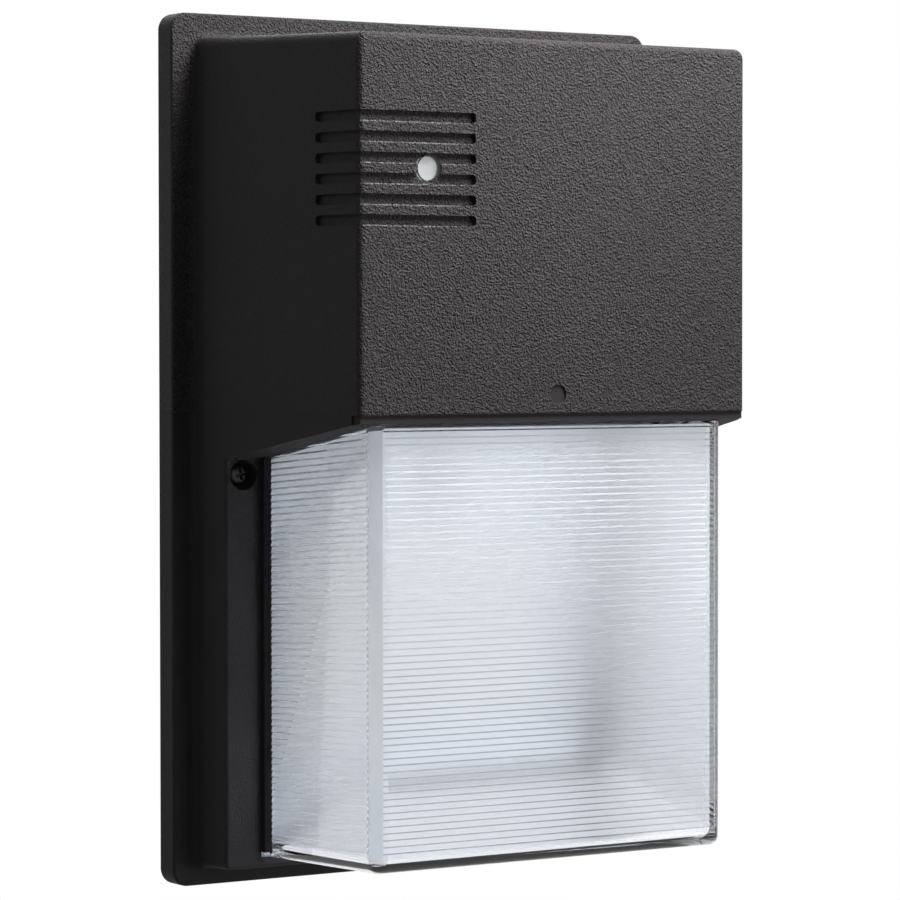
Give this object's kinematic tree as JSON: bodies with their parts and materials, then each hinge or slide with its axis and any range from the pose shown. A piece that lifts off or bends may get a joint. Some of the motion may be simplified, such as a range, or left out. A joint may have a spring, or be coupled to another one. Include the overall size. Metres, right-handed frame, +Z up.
{
  "type": "wall pack light",
  "caption": "Outdoor wall light: tapered die-cast hood with louvre slots and a photocell eye over a square prismatic lens, on a flanged back box that screws to a wall plate.",
  "frame": {"origin": "middle of the flange's outline, in the wall plane on which the flange and the wall plate bear", "axes": "+Z up, -Y out from the wall towards the viewer, +X to the right seen from the front; the photocell is on the left, at -X"},
  "size_m": [0.173, 0.084, 0.26],
  "materials": {
    "black_foam": "closed-cell foam, black",
    "black_insulation": "PVC insulation, black",
    "black_plastic": "moulded plastic, black",
    "black_silicone": "matt black silicone",
    "black_steel": "black-oxide steel",
    "cast_aluminium": "bare die-cast aluminium",
    "clear_cap": "clear moulded plastic",
    "clear_prismatic_plastic": "clear moulded plastic with fine horizontal ribs on its outer faces",
    "green_insulation": "PVC insulation, green",
    "green_steel": "green-dyed zinc-plated steel",
    "grey_pad": "grey thermal pad",
    "grey_potting": "potting compound",
    "natural_nylon": "natural nylon",
    "orange_plastic": "moulded plastic, orange",
    "phosphor": "yellow phosphor in a white package",
    "red_insulation": "PVC insulation, red",
    "sensor_grey": "pale grey sensor face",
    "textured_charcoal_coat": "fine leather-grain charcoal powder coat on die-cast aluminium",
    "tinned_copper": "tinned copper",
    "white_board": "white solder mask on an aluminium-core board",
    "white_insulation": "PVC insulation, white",
    "white_plastic": "moulded plastic, white",
    "white_sheet": "high-reflectance white paint on steel sheet",
    "zinc_steel": "zinc-plated steel"
  },
  "bodies": {
    "fixture": {"driver_case": "white_plastic", "driver_circuit": "grey_potting", "driver_lead_black": "black_insulation", "driver_lead_white": "white_insulation", "driver_lid": "white_plastic", "driver_screws": "zinc_steel", "ground_lead": "green_insulation", "ground_screw": "green_steel", "ground_terminal": "tinned_copper", "housing": "textured_charcoal_coat", "led_board": "white_board", "led_board_screws": "zinc_steel", "led_chips": "phosphor", "led_connector": "white_plastic", "led_lead_black": "black_insulation", "led_lead_red": "red_insulation", "lens": "clear_prismatic_plastic", "lens_gasket": "black_silicone", "photocell_body": "black_plastic", "photocell_lead_black": "black_insulation", "photocell_lead_red": "red_insulation", "photocell_lead_white": "white_insulation", "photocell_sensor": "sensor_grey", "photocell_strap": "zinc_steel", "photocell_strap_screws": "zinc_steel", "photocell_window": "clear_cap", "reflector_tray": "white_sheet", "thermal_pad": "grey_pad", "tray_bushing": "black_plastic", "tray_screws": "zinc_steel", "wall_gasket": "black_foam", "wall_plate": "cast_aluminium", "wire_connectors": "orange_plastic"},
    "screw_left": {"housing_screw_left": "black_steel", "screw_retainer_left": "natural_nylon"},
    "screw_right": {"housing_screw_right": "black_steel", "screw_retainer_right": "natural_nylon"}
  },
  "joints": [
    {"name": "housing_screw_left_slide", "type": "slide", "parent": "fixture", "child": "screw_left", "axis": [0, -1, 0], "range_m": [0, 0.006]},
    {"name": "housing_screw_right_slide", "type": "slide", "parent": "fixture", "child": "screw_right", "axis": [0, -1, 0], "range_m": [0, 0.006]}
  ]
}
